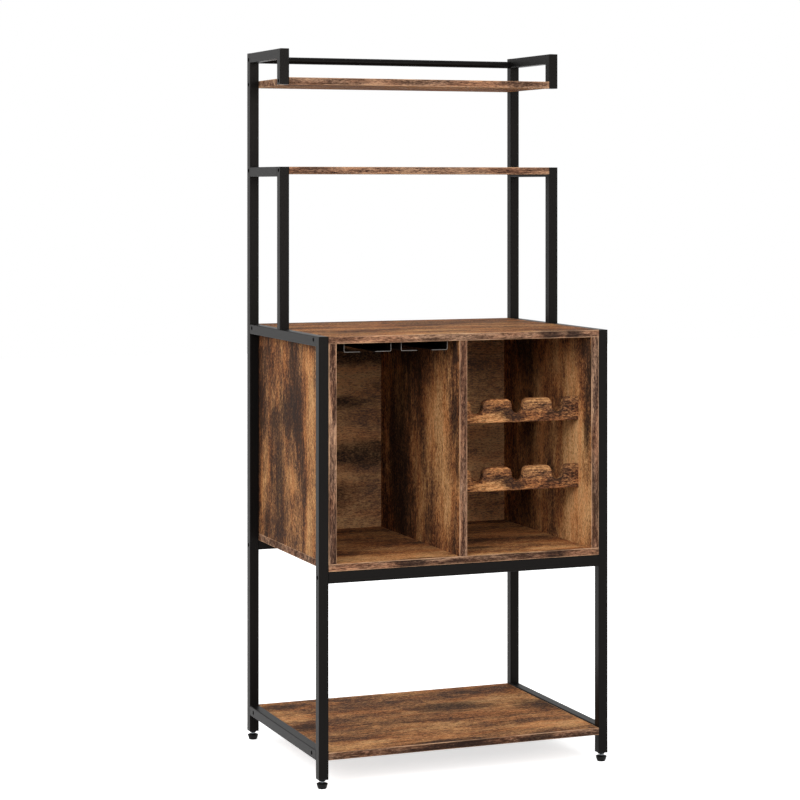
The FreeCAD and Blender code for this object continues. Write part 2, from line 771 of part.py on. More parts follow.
# Every node of the assembly, by name
def build():
    nodes = {}
    frame_tubes = {
        "front_post": front_post,
        "rear_upright": rear_upright,
        "mid_post": mid_post,
        "guard_top_rail": guard_top_rail,
        "guard_drop": guard_drop,
        "second_shelf_rail": second_shelf_rail,
        "cabinet_top_rail": cabinet_top_rail,
        "bottom_rail": bottom_rail,
    }
    for name, make in frame_tubes.items():
        nodes[name + "_left"], nodes[name + "_right"] = both_sides(make())
    nodes["front_cross_rail"] = cross_rail(front_post_y, front_cross_rail_height)
    nodes["rear_cross_rail"] = cross_rail(rear_post_y, tube_size)
    nodes["guard_rear_bar"] = guard_rear_bar()

    nodes["top_shelf_board"] = shelf_board(upper_front, top_shelf_height, board_bolts["top_shelf"])
    nodes["second_shelf_board"] = shelf_board(upper_front, second_shelf_height, board_bolts["second_shelf"])
    nodes["cabinet_top_board"] = cabinet_top_board()
    nodes["cabinet_floor_board"] = cabinet_floor_board()
    nodes["bottom_shelf_board"] = shelf_board(front, bottom_board_top, board_bolts["bottom_shelf"])
    nodes["side_panel_left"] = side_panel()
    nodes["side_panel_right"] = right_side_panel()
    nodes["divider_panel"] = divider_panel()
    nodes["back_panel"] = back_panel()

    nodes["stemware_rail_middle"] = middle_stem_rail()
    nodes["stemware_rail_left"] = side_stem_rail(-1)
    nodes["stemware_rail_right"] = side_stem_rail(1)
    for level, bottom in rack_heights.items():
        nodes["neck_rail_" + level] = neck_rail(bottom)
        nodes["body_rail_" + level] = body_rail(bottom)

    bolts = [frame_bolt(y, z) for y, z in all_bolt_points()]
    inserts = [board_insert(y, z) for pair in board_bolts.values() for y, z in pair]
    plugs = [nut_plug(name) for name in cross_bolts]
    nodes["frame_bolts_left"] = group(bolts)
    nodes["frame_bolts_right"] = group([mirrored(bolt) for bolt in bolts])
    nodes["board_inserts_left"] = group(inserts)
    nodes["board_inserts_right"] = group([mirrored(insert) for insert in inserts])
    nodes["rail_nut_plugs"] = group(plugs + [mirrored(plug) for plug in plugs])
    nodes["carcass_dowels"] = group(carcass_dowels())
    nodes["bottle_rail_dowels"] = group(rail_dowels())
    nodes["stemware_screws"] = group(stemware_screws())
    nodes["cabinet_floor_screws"] = group(floor_screws())
    nodes["tube_closing_plates"] = group(closing_plates())

    for corner, (x, y) in foot_places().items():
        nodes["foot_insert_" + corner] = foot_insert(x, y)
        nodes["levelling_stud_" + corner] = levelling_stud(x, y)
        nodes["levelling_pad_" + corner] = levelling_pad(x, y)
    return nodes


os.makedirs("parts", exist_ok=True)
for node, shape in build().items():
    shape.exportStep("parts/" + node + ".step")
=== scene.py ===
import math

import bpy
from bpy.props import FloatProperty, FloatVectorProperty, PointerProperty
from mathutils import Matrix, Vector


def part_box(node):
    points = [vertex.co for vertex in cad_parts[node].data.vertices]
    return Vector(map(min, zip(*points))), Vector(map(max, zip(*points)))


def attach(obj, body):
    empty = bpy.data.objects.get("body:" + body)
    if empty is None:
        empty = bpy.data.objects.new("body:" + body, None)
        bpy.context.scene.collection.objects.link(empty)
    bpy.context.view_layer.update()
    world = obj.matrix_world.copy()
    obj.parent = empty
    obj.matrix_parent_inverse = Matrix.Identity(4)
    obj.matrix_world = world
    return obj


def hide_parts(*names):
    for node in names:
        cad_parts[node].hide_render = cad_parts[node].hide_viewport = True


bl_info = {
    "name": "Kitchen shelving unit finish",
    "version": (1, 0, 0),
    "blender": (4, 5, 0),
    "location": "View3D > Sidebar > Shelving",
    "description": "Finishes, threads, welds and screw heads for a kitchen shelving unit",
    "category": "Object",
}

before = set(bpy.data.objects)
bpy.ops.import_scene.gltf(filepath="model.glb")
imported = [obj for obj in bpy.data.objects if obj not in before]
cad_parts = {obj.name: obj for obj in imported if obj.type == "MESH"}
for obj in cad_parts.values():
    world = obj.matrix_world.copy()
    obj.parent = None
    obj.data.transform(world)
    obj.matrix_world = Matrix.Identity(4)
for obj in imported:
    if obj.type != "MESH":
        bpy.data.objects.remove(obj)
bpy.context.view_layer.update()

MM = 0.001
CORNERS = ("front_left", "front_right", "rear_left", "rear_right")
SIDES = ("left", "right")

# A Mix node's colour sockets share their names with others, so they go by number
MIX_A, MIX_B, MIXED = 6, 7, 2

# The turn that brings a board's grain into the print's first direction, and its breadth into the second
GRAIN_TURN = {"X": (0, 0, 0), "Z": (0, math.radians(90), 0), "X upright": (math.radians(90), 0, 0)}

# Each board: the direction of its grain; where in the print it is cut, in metres; how much paler than
# usual its print is, partly the board's own tone and partly painted light and shade that make up for how
# brightly each board is lit; how much paler its edge tape is; and its charred and honey spots. A spot is
# its place along and across the grain, and its half length and half width, in mm. The spots are partly
# the print's own and partly painted: charred spots high up and at the back of the divider and the right
# panel paint the shade inside the cabinet, and honey spots on the cabinet floor, the back panel and the
# fronts of the inner faces paint the light that falls there. The thin back panel has no edge tape, and
# faded is the share by which its print is greyed. This is partly a paler print and partly painted light
# that takes the red of the bounce light out of the cabinet's shaded back.
BOARDS = {
    "top_shelf_board": {"grain": "X", "offset": (0.3, 0.1, 0.2), "print_and_light_lift": 0.03, "tape_lift": 0.05},
    "second_shelf_board": {"grain": "X", "offset": (1.9, 0.4, 0.9), "print_and_light_lift": 0.03, "tape_lift": 0.04},
    "cabinet_top_board": {
        "grain": "X", "offset": (3.1, 0.2, 0.5), "print_and_light_lift": -0.02, "tape_lift": 0.04,
        "charred_and_shade_spots": ((199, -250, 30, 18), (254, -250, 20, 12))},
    # The honey spots along the front of the cabinet floor paint the light that falls in through the
    # cabinet's opening
    "cabinet_floor_board": {
        "grain": "X", "offset": (4.6, 0.8, 0.1), "print_and_light_lift": 0.0, "tape_lift": 0.04,
        "charred_and_shade_spots": ((214, -250, 30, 12), (-127, -250, 40, 8), (61, -150, 50, 16)),
        "honey_and_light_spots": ((-200, -200, 150, 50), (60, -235, 60, 16), (224, -210, 60, 24))},
    "bottom_shelf_board": {
        "grain": "X", "offset": (6.2, 0.3, 0.7), "print_and_light_lift": 0.0, "tape_lift": 0.0,
        "charred_and_shade_spots": ((-275, 200, 50, 26), (-278, -14, 40, 30), (-60, -244, 110, 16),
                          (175, -250, 40, 12), (300, 0, 60, 60), (95, 70, 90, 50)),
        "honey_and_light_spots": ((-246, -195, 90, 30), (270, -180, 110, 40), (-290, 100, 50, 50))},
    # This outer panel's print is made darker: painted shade that makes up for the stronger light falling
    # on it
    "side_panel_left": {
        "grain": "Z", "offset": (8.4, 0.5, 0.3), "print_and_light_lift": -0.12, "tape_lift": 0.0,
        "charred_and_shade_spots": ((775, 10, 52, 75), (749, 100, 40, 40), (620, 84, 150, 34),
                          (516, 75, 60, 46), (797, 206, 50, 26)),
        "honey_and_light_spots": ((728, -129, 170, 46), (560, -140, 110, 44), (888, -129, 40, 40),
                        (616, 184, 100, 36), (627, -8, 36, 34))},
    # This inner panel's print is made paler, which is painted light. The charred spot high at the back
    # paints the shade under the cabinet top, and the honey spots toward the front paint the light that
    # falls there
    "side_panel_right": {
        "grain": "Z", "offset": (9.7, 0.9, 0.6), "print_and_light_lift": 0.02, "tape_lift": 0.0,
        "charred_and_shade_spots": ((742, -226, 50, 13), (897, 94, 90, 55), (720, 94, 85, 42),
                          (553, 117, 80, 40), (916, -207, 24, 14)),
        "honey_and_light_spots": ((861, -129, 60, 70), (697, -140, 90, 80), (546, -176, 80, 60))},
    # The divider's print is made darker where the key light falls on it, which is painted shade. The two
    # charred spots at its back and top paint the shade inside the cabinet, and the honey spots toward its
    # front paint light
    "divider_panel": {
        "grain": "Z", "offset": (11.2, 0.1, 0.8), "print_and_light_lift": -0.05, "tape_lift": 0.02,
        "charred_and_shade_spots": ((758, -226, 50, 20), (700, -235, 60, 12), (915, -224, 30, 18),
                          (646, 110, 220, 60), (905, 60, 60, 90)),
        "honey_and_light_spots": ((715, -121, 120, 70), (600, -160, 90, 60))},
    # The back panel's print is made paler and greyed toward tan grey: partly a paler print, partly painted
    # light for the cabinet's shaded back. Its honey spots are painted light too
    "back_panel": {
        "grain": "X upright", "offset": (15.8, 0.7, 0.2), "print_and_light_lift": 0.11, "greyed_print_and_fill": 0.17,
        "charred_and_shade_spots": ((-50, -645, 120, 34), (-60, -880, 170, 22), (-175, -770, 110, 16),
                          (-190, -560, 130, 36)),
        "honey_and_light_spots": ((-110, -830, 70, 40), (-120, -700, 50, 50), (-110, -590, 50, 40))},
}

# Spots of a bottle rack's print: the place along the rail, the height above the neck rail's underside,
# and the half length and half width, in mm
RACK_CHARRED = ((106, 30, 24, 7), (133, 23, 26, 11), (146, 12, 30, 9))
RACK_HONEY = ((102, 46, 34, 10), (85, 9, 36, 9), (28, 42, 22, 12), (205, 48, 40, 7))

# The soft lights: name, place and width in metres. The power is the stage setting of that name.
LIGHTS = (("key", (-2.9, -2.4, 2.4), 2.2), ("front", (-1.0, -4.6, 2.5), 2.0),
          ("sheen", (1.4, -4.7, 1.7), 1.2), ("rim", (-2.7, 2.7, 1.5), 1.8))
LIGHTS_AIM = Vector((0, 0, 0.8))

# The square floor's width and how far the camera sees, in metres, and the width of its sensor
FLOOR_WIDTH = 24.0
SIGHT = 50.0
SENSOR_WIDTH_MM = 36.0

# The thread's tooth: its corners, each with its height as a share of the pitch, and whether it is on
# the crest. A plane's edges run through its corners 0, 1, 3 and 2, and back to 0.
TOOTH = ((0, 0.0, False), (1, 0.42, True), (3, 0.58, True), (2, 1.0, False))
THREAD_STEPS_A_TURN = 20

SCREW_HEAD_RADIUS = 4.0 * MM
SCREW_HEAD_HEIGHT = 2.4 * MM

# The rails' ends that butt against a post, 0 at the front and 1 at the rear, and whether the weld is
# laid over the rail as well as under it
WELDED_ENDS = (("bottom_rail", (0, 1), True), ("second_shelf_rail", (0,), False),
               ("second_shelf_rail", (1,), True), ("cabinet_top_rail", (1,), True),
               ("guard_top_rail", (1,), False))
WELD_END_GAP = 3 * MM


# Colours and nodes
def linear(hex_colour):
    """Linear red, green, blue and full alpha of an sRGB hex colour."""
    parts = [int(hex_colour[i:i + 2], 16) / 255 for i in (1, 3, 5)]
    return tuple(p / 12.92 if p <= 0.04045 else ((p + 0.055) / 1.055) ** 2.4 for p in parts) + (1.0,)


def add(tree, kind, inputs=None, stops=None, out=0, **settings):
    """Adds a node, its settings, its ramp stops, and its input values or links, and gives its output."""
    node = tree.nodes.new("ShaderNode" + kind)
    for name, value in settings.items():
        setattr(node, name, value)
    if stops:
        ramp = node.color_ramp
        while len(ramp.elements) < len(stops):
            ramp.elements.new(1.0)
        for element, (position, colour) in zip(ramp.elements, stops):
            element.position = position
            element.color = colour
    for key, value in (inputs or {}).items():
        if isinstance(value, bpy.types.NodeSocket):
            tree.links.new(value, node.inputs[key])
        else:
            node.inputs[key].default_value = value
    return node.outputs if out is None else node.outputs[out]


def new_material(name):
    """An empty node material and its tree."""
    material = bpy.data.materials.new(name)
    material.use_nodes = True
    material.node_tree.nodes.clear()
    return material, material.node_tree


def grained(tree, place, size_mm, offset, detail, roughness, distortion=0.0):
    """A pattern whose features are as long, wide and deep as size_mm, in the place's own directions."""
    scale = [1 / (side * MM) for side in size_mm]
    moved = add(tree, "Mapping", {"Vector": place, "Location": offset, "Scale": scale})
    return add(tree, "TexNoise", {"Vector": moved, "Scale": 1.0, "Detail": detail, "Roughness": roughness,
                                  "Distortion": distortion}, noise_dimensions="3D")


def weighted(tree, parts, middle=0.5):
    """The sum of (pattern, weight) pairs about middle; each pattern lies about one half."""
    total = middle - sum(weight for pattern, weight in parts) / 2
    for pattern, weight in parts:
        total = add(tree, "Math", {0: pattern, 1: weight, 2: total}, operation="MULTIPLY_ADD")
    return total


def patches(tree, place, spots, ragged):
    """A mask of soft patches: each spot is its place and half size along and across the grain, in mm.
    The mask fades from 0.4 to 1.5 half sizes away from a spot's middle, and ragged moves its rim."""
    mask = 0.0
    for along, across, half_length, half_width in spots:
        scale = (1 / (half_length * MM), 1 / (half_width * MM), 0.0)
        middle = (-along / half_length, -across / half_width, 0.0)
        away = add(tree, "Mapping", {"Vector": place, "Location": middle, "Scale": scale})
        distance = add(tree, "VectorMath", {0: away}, out="Value", operation="LENGTH")
        torn = add(tree, "Math", {0: distance, 1: ragged}, operation="ADD")
        spot = add(tree, "MapRange", {"Value": torn, "From Min": 1.5, "From Max": 0.4},
                   interpolation_type="SMOOTHSTEP")
        mask = add(tree, "Math", {0: mask, 1: spot}, operation="MAXIMUM")
    return mask


def finish_surface(tree, colour, roughness, height, height_mm, constants=None):
    """The shader at the end of a material's tree, with the sockets that are the same all over it."""
    bump = add(tree, "Bump", {"Height": height, "Distance": height_mm * MM, "Strength": 1.0})
    shader = add(tree, "BsdfPrincipled", {"Base Color": colour, "Roughness": roughness, "Normal": bump,
                                          **(constants or {})})
    add(tree, "OutputMaterial", {"Surface": shader}, out=None)


# Settings
class SHELVING_PG_boards(bpy.types.PropertyGroup):
    """Colours and pattern sizes of the rustic boards"""
    shadow: FloatVectorProperty(name="Shadow brown", description="Darkest tone of the printed grain",
                                subtype="COLOR", size=4, min=0, max=1, default=linear("#36281f"))
    middle: FloatVectorProperty(name="Middle brown", description="Common tone of the printed grain",
                                subtype="COLOR", size=4, min=0, max=1, default=linear("#78523a"))
    tan: FloatVectorProperty(name="Tan", description="Pale tone of the printed grain",
                             subtype="COLOR", size=4, min=0, max=1, default=linear("#b27f50"))
    honey: FloatVectorProperty(name="Honey", description="Palest specks of the printed grain",
                               subtype="COLOR", size=4, min=0, max=1, default=linear("#d6a672"))
    char: FloatVectorProperty(name="Charred", description="Charcoal of the scorched patches",
                              subtype="COLOR", size=4, min=0, max=1, default=linear("#291e1a"))
    russet: FloatVectorProperty(name="Russet tint", description="Tint of the redder zones of the print",
                                subtype="COLOR", size=4, min=0, max=1, default=(1.0, 0.84, 0.76, 1.0))
    # This colour greys the back panel's print: partly a paler print, partly painted light against the
    # reddish bounce light in the shaded cabinet
    greyed_print_and_fill: FloatVectorProperty(name="Faded", description="Grey tan of the thin back panel's paler print",
                               subtype="COLOR", size=4, min=0, max=1, default=linear("#b39680"))
    worn: FloatVectorProperty(name="Worn edge", description="Pinkish brown of the worn edges",
                              subtype="COLOR", size=4, min=0, max=1, default=linear("#90705b"))
    edge_middle: FloatVectorProperty(name="Edge brown", description="Common tone of the edge tape",
                                     subtype="COLOR", size=4, min=0, max=1, default=linear("#5f473a"))
    edge_shadow: FloatVectorProperty(name="Edge shadow", description="Dark spots of the edge tape",
                                     subtype="COLOR", size=4, min=0, max=1, default=linear("#2f211c"))
    # The arris colour paints a highlight along the edges as well as the rubbed wear
    arris: FloatVectorProperty(name="Rubbed arris", description="Pale line along the rubbed edges",
                               subtype="COLOR", size=4, min=0, max=1, default=linear("#bf9877"))
    mottle_length: FloatProperty(name="Mottle length", description="Length of the printed mottling, in mm",
                                 default=24.0, min=2, max=200)
    mottle_width: FloatProperty(name="Mottle width", description="Width of the printed mottling, in mm",
                                default=11.0, min=1, max=50)
    fibre_length: FloatProperty(name="Fibre length", description="Length of the fine fibres, in mm",
                                default=50.0, min=5, max=400)
    rings: FloatProperty(name="Growth rings", description="How many radians of growth rings a board has",
                         default=110.0, min=0, max=600)
    pore_length: FloatProperty(name="Pore length", description="Length of the dark pores, in mm",
                               default=10.0, min=1, max=40)
    pore_depth: FloatProperty(name="Pore depth", description="Depth of the pressed pores, in mm",
                              default=0.12, min=0, max=1)
    # Width of the pale arris line, which is partly rubbed wear and partly a painted highlight
    arris_width: FloatProperty(name="Arris width", description="Where the rubbing of the arrises ends",
                               default=1.9 * MM, min=0, max=10 * MM, unit="LENGTH", precision=5)


class SHELVING_PG_metal(bpy.types.PropertyGroup):
    """Colours and sizes of the metal and plastic pieces"""
    coat: FloatVectorProperty(name="Powder coat", description="Colour of the coated tubes",
                              subtype="COLOR", size=4, min=0, max=1, default=linear("#0b0a0a"))
    coat_grain: FloatProperty(name="Coat grain", description="Size of the coat's orange peel, in mm",
                              default=1.4, min=0.2, max=5)
    zinc: FloatVectorProperty(name="Zinc", description="Colour of the zinc plate",
                              subtype="COLOR", size=4, min=0, max=1, default=linear("#b4b8bb"))
    plastic: FloatVectorProperty(name="Plastic", description="Colour of pads, plugs and inserts",
                                 subtype="COLOR", size=4, min=0, max=1, default=linear("#080808"))
    thread_pitch: FloatProperty(name="Thread pitch", description="Pitch of the levelling studs' thread",
                                default=1.25 * MM, min=0.3 * MM, max=3 * MM, unit="LENGTH", precision=5)
    thread_depth: FloatProperty(name="Thread depth", description="Depth of the levelling studs' thread",
                                default=0.7 * MM, min=0.1 * MM, max=2 * MM, unit="LENGTH", precision=5)
    weld_radius: FloatProperty(name="Weld radius", description="Radius of the weld beads",
                               default=1.3 * MM, min=0.3 * MM, max=4 * MM, unit="LENGTH", precision=5)
    recess_width: FloatProperty(name="Recess width", description="Width across a screw's cross recess",
                                default=4.4 * MM, min=1 * MM, max=8 * MM, unit="LENGTH", precision=5)
    recess_slot: FloatProperty(name="Recess slot", description="Width of one arm of the cross recess",
                               default=0.9 * MM, min=0.3 * MM, max=3 * MM, unit="LENGTH", precision=5)


class SHELVING_PG_stage(bpy.types.PropertyGroup):
    """Camera, light and floor"""
    eye: FloatVectorProperty(name="Camera place", description="Where the camera stands", size=3,
                             subtype="TRANSLATION", unit="LENGTH", default=(-1.9927, -4.9317, 1.2827))
    turn: FloatProperty(name="Camera turn", description="How far the level camera turns to the right",
                        subtype="ANGLE", unit="ROTATION", default=math.radians(21.422))
    lens: FloatProperty(name="Focal length", description="Focal length on a 36 mm wide sensor, in mm",
                        default=105.546, min=10, max=500)
    shift: FloatProperty(name="Vertical shift", description="Shift that keeps the uprights upright",
                         default=-0.27014, min=-1, max=1)
    paper: FloatVectorProperty(name="Paper", description="Colour of the floor",
                               subtype="COLOR", size=4, min=0, max=1, default=linear("#b4b4b4"))
    glow: FloatProperty(name="Floor glow", description="Glow that lifts the floor to white",
                        default=0.68, min=0, max=1)
    horizon: FloatProperty(name="Horizon", description="Level of the room's light at eye level",
                           default=0.2, min=0, max=5)
    zenith: FloatProperty(name="Zenith", description="Level of the room's light overhead",
                          default=0.9, min=0, max=5)
    key: FloatProperty(name="Key light", description="Power of the soft light at the front left",
                       subtype="POWER", unit="POWER", default=100.0, min=0, max=5000)
    front: FloatProperty(name="Front light", description="Power of the broad light at the front",
                         subtype="POWER", unit="POWER", default=50.0, min=0, max=5000)
    sheen: FloatProperty(name="Sheen light", description="Power of the light that the tubes mirror",
                         subtype="POWER", unit="POWER", default=45.0, min=0, max=5000)
    rim: FloatProperty(name="Rim light", description="Power of the soft light at the back left",
                       subtype="POWER", unit="POWER", default=16.0, min=0, max=5000)


# Finishes
def board_depths(tree, place, node, grain):
    """How deep a place lies under a board's taped edges, and under its broad faces, in metres."""
    low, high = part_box(node)
    folded = add(tree, "VectorMath", {0: place, 1: tuple((low + high) / 2)}, operation="SUBTRACT")
    folded = add(tree, "VectorMath", {0: folded}, operation="ABSOLUTE")
    inset = add(tree, "VectorMath", {0: tuple((high - low) / 2), 1: folded}, operation="SUBTRACT")
    inset_x, inset_y, inset_z = add(tree, "SeparateXYZ", {"Vector": inset}, out=None)
    # The tape covers the upright edges; the ends of the panels have no tape but are out of sight
    if grain == "Z":
        return inset_y, inset_x
    return add(tree, "Math", {0: inset_x, 1: inset_y}, operation="MINIMUM"), inset_z


def rustic_board(name, node, grain, offset, print_and_light_lift, tape_lift=None, charred_and_shade_spots=(), honey_and_light_spots=(),
                 greyed_print_and_fill=0.0):
    """Printed rustic oak paper on particle board, pressed with fine pores, with worn tape on its edges.
    It gives a matt, mottled brown with soft charred clouds, tan zones and pale arrises, which are partly
    rubbed and partly a painted highlight. Its lift, its greying and some of its spots paint light and
    shade."""
    look = bpy.context.scene.shelving_boards
    material, tree = new_material(name)
    place = add(tree, "TexCoord", out="Object")
    turned = add(tree, "Mapping", {"Vector": place, "Rotation": GRAIN_TURN[grain]})
    along = add(tree, "Mapping", {"Vector": turned, "Location": offset})

    zone = grained(tree, along, (300, 85, 85), (7.3, 1.9, 2.2), detail=3.0, roughness=0.5, distortion=0.4)
    cloud = grained(tree, along, (190, 65, 65), (1.7, 4.1, 0.3), detail=4.0, roughness=0.6, distortion=0.3)
    mottle = grained(tree, along, (look.mottle_length, look.mottle_width, look.mottle_width), (3, 5, 7),
                     detail=6.0, roughness=0.72)
    fibre = grained(tree, along, (look.fibre_length, 2.0, 2.0), (9, 1, 4), detail=3.0, roughness=0.6)
    pore = grained(tree, along, (look.pore_length, 1.5, 1.5), (11, 2, 5), detail=2.0, roughness=0.6)
    speck = grained(tree, along, (6, 3.4, 3.4), (5, 8, 3), detail=4.0, roughness=0.75)
    ring = grained(tree, along, (460, 60, 60), (2, 6, 9), detail=1.0, roughness=0.4, distortion=0.6)

    # The growth rings of sawn oak are the contour lines of a slow pattern
    ring = add(tree, "Math", {0: ring, 1: look.rings}, operation="MULTIPLY")
    ring = add(tree, "Math", {0: ring}, operation="SINE")
    ring = add(tree, "MapRange", {"Value": ring, "From Min": -1.0, "From Max": 1.0})

    # Printed tone: broad zones, grainy mottling, fibres and specks, paler at the honey spots. The lift is
    # partly painted light and shade, and some honey spots are painted light
    ragged = weighted(tree, [(cloud, 1.6), (mottle, 1.0)], 0.0)
    honeyed_and_lit = patches(tree, turned, honey_and_light_spots, ragged)
    tone = weighted(tree, [(zone, 0.9), (mottle, 0.7), (fibre, 0.5), (speck, 1.15), (ring, 0.08)],
                    0.52 + print_and_light_lift)
    tone = add(tree, "Math", {0: honeyed_and_lit, 1: 0.2, 2: tone}, operation="MULTIPLY_ADD")
    brown = add(tree, "ValToRGB", {"Fac": tone}, stops=[
        (0.3, look.shadow), (0.46, look.middle), (0.61, look.tan), (0.8, look.honey)])

    # Dark pores, short along the grain
    pores = add(tree, "MapRange", {"Value": pore, "From Min": 0.54, "From Max": 0.62, "To Max": 0.75},
                interpolation_type="SMOOTHSTEP")
    brown = add(tree, "Mix", {"Factor": pores, MIX_A: brown, MIX_B: look.shadow}, out=MIXED,
                data_type="RGBA")

    if tape_lift is not None:
        # Blotted, gritty tape, which a board's print meets just under the edge
        under_edge, under_face = board_depths(tree, place, node, grain)
        blot = grained(tree, along, (120, 10, 10), (2, 9, 4), detail=5.0, roughness=0.7)
        grit = grained(tree, along, (9, 1.9, 1.9), (6, 1, 8), detail=4.0, roughness=0.75)
        tape_tone = weighted(tree, [(blot, 1.3), (grit, 1.3), (cloud, 0.6)], 0.45 + tape_lift)
        tape = add(tree, "ValToRGB", {"Fac": tape_tone}, stops=[
            (0.3, look.edge_shadow), (0.45, look.edge_middle), (0.6, look.worn), (0.78, look.arris)])
        on_tape = add(tree, "MapRange", {"Value": under_edge, "From Min": 0.35 * MM,
                                         "From Max": 0.15 * MM, "To Max": 0.95})
        brown = add(tree, "Mix", {"Factor": on_tape, MIX_A: brown, MIX_B: tape}, out=MIXED,
                    data_type="RGBA")

    # Some zones of the print are redder
    redder = grained(tree, along, (150, 40, 40), (8, 3, 1), detail=4.0, roughness=0.6)
    redder = add(tree, "MapRange", {"Value": redder, "From Min": 0.4, "From Max": 0.62},
                 interpolation_type="SMOOTHSTEP")
    brown = add(tree, "Mix", {"Factor": redder, MIX_A: brown, MIX_B: look.russet}, out=MIXED,
                data_type="RGBA", blend_type="MULTIPLY")

    # The back panel's print is greyed: partly a paler print, partly painted light against the reddish
    # bounce light in the shaded cabinet
    if greyed_print_and_fill:
        brown = add(tree, "Mix", {"Factor": greyed_print_and_fill, MIX_A: brown, MIX_B: look.greyed_print_and_fill}, out=MIXED,
                    data_type="RGBA")

    # Charred clouds and spots with grainy rims; some charred spots, high up and at the back inside the
    # cabinet, are painted shade
    rim = weighted(tree, [(cloud, 1.0), (mottle, 0.45)])
    clouds = add(tree, "MapRange", {"Value": rim, "From Min": 0.64, "From Max": 0.82, "To Max": 0.8},
                 interpolation_type="SMOOTHSTEP")
    clouds = add(tree, "Math", {0: clouds, 1: patches(tree, turned, charred_and_shade_spots, ragged)},
                 operation="MAXIMUM")
    burnt = add(tree, "MapRange", {"Value": speck, "From Min": 0.7, "From Max": 0.36, "To Min": 0.6,
                                   "To Max": 0.95}, interpolation_type="SMOOTHSTEP")
    charred = add(tree, "Math", {0: clouds, 1: burnt}, operation="MULTIPLY")
    colour = add(tree, "Mix", {"Factor": charred, MIX_A: brown, MIX_B: look.char}, out=MIXED,
                 data_type="RGBA")

    if tape_lift is not None:
        # The arrises are pale where two faces meet, more in some places than in others: partly rubbed wear
        # and partly a painted highlight along the edges
        arris = add(tree, "Math", {0: under_face, 1: under_edge}, operation="MAXIMUM")
        rubbed_and_highlit = add(tree, "MapRange", {"Value": arris, "From Min": look.arris_width,
                                        "From Max": 0.8 * MM}, interpolation_type="SMOOTHSTEP")
        worn = add(tree, "MapRange", {"Value": blot, "From Min": 0.4, "From Max": 0.6, "To Min": 0.25,
                                      "To Max": 0.95}, interpolation_type="SMOOTHSTEP")
        rubbed_and_highlit = add(tree, "Math", {0: rubbed_and_highlit, 1: worn}, operation="MULTIPLY")
        colour = add(tree, "Mix", {"Factor": rubbed_and_highlit, MIX_A: colour, MIX_B: look.arris}, out=MIXED,
                     data_type="RGBA")

    roughness = add(tree, "MapRange", {"Value": mottle, "From Min": 0.3, "From Max": 0.7,
                                       "To Min": 0.6, "To Max": 0.75})
    height = add(tree, "Math", {0: pores, 1: -1.0, 2: speck}, operation="MULTIPLY_ADD")
    finish_surface(tree, colour, roughness, height, look.pore_depth, {"Specular IOR Level": 0.03})
    return material


def powder_coat(name, grain_mm, roughness, highlit_front=None):
    """Black polyester powder coat on steel, sprayed and baked: satin, with a faint orange peel.
    At the front ends, at a given place along Y, the colour is paled toward grey: a painted highlight on
    the sheet edges."""
    look = bpy.context.scene.shelving_metal
    material, tree = new_material(name)
    place = add(tree, "TexCoord", out="Object")
    peel = grained(tree, place, (grain_mm,) * 3, (0, 0, 0), detail=2.0, roughness=0.5)
    haze = grained(tree, place, (120,) * 3, (5, 2, 8), detail=3.0, roughness=0.5)
    haze = add(tree, "MapRange", {"Value": haze, "From Min": 0.35, "From Max": 0.65, "To Max": 0.25})
    colour = add(tree, "Mix", {"Factor": haze, MIX_A: look.coat, MIX_B: linear("#100f0e")}, out=MIXED,
                 data_type="RGBA")
    # Painted highlight: the front ends of the folded sheet are paled toward grey
    if highlit_front is not None:
        depth = add(tree, "SeparateXYZ", {"Vector": place}, out="Y")
        painted_highlight = add(tree, "MapRange", {"Value": depth, "From Min": highlit_front + 0.9 * MM,
                                      "From Max": highlit_front + 0.4 * MM, "To Max": 0.4})
        colour = add(tree, "Mix", {"Factor": painted_highlight, MIX_A: colour, MIX_B: linear("#aaa49e")}, out=MIXED,
                     data_type="RGBA")
    rough = add(tree, "MapRange", {"Value": peel, "From Min": 0.3, "From Max": 0.7,
                                   "To Min": roughness - 0.04, "To Max": roughness + 0.05})
    finish_surface(tree, colour, rough, peel, 0.03,
                   {"Specular IOR Level": 0.08, "Specular Tint": (1.0, 0.91, 0.83, 1.0)})
    return material


def black_oxide(name):
    """Black oxide on hardened steel screws and bolts: dark, slightly oily, with paler worn patches."""
    material, tree = new_material(name)
    place = add(tree, "TexCoord", out="Object")
    mottle = grained(tree, place, (2.5,) * 3, (1, 1, 1), detail=3.0, roughness=0.6)
    worn = add(tree, "MapRange", {"Value": mottle, "From Min": 0.35, "From Max": 0.7})
    colour = add(tree, "Mix", {"Factor": worn, MIX_A: linear("#191919"), MIX_B: linear("#2d2c2b")},
                 out=MIXED, data_type="RGBA")
    rough = add(tree, "MapRange", {"Value": mottle, "From Min": 0.3, "From Max": 0.7, "To Min": 0.3,
                                   "To Max": 0.5})
    finish_surface(tree, colour, rough, mottle, 0.02, {"Metallic": 0.6})
    return material


def zinc_plate(name):
    """Bright zinc plate on turned steel: silvery, with cloudy passivation."""
    look = bpy.context.scene.shelving_metal
    material, tree = new_material(name)
    place = add(tree, "TexCoord", out="Object")
    cloudy = grained(tree, place, (3.0,) * 3, (4, 1, 6), detail=4.0, roughness=0.6)
    colour = add(tree, "Mix", {"Factor": cloudy, MIX_A: look.zinc, MIX_B: linear("#858a90")}, out=MIXED,
                 data_type="RGBA")
    rough = add(tree, "MapRange", {"Value": cloudy, "From Min": 0.3, "From Max": 0.7, "To Min": 0.22,
                                   "To Max": 0.4})
    finish_surface(tree, colour, rough, cloudy, 0.01, {"Metallic": 1.0})
    return material


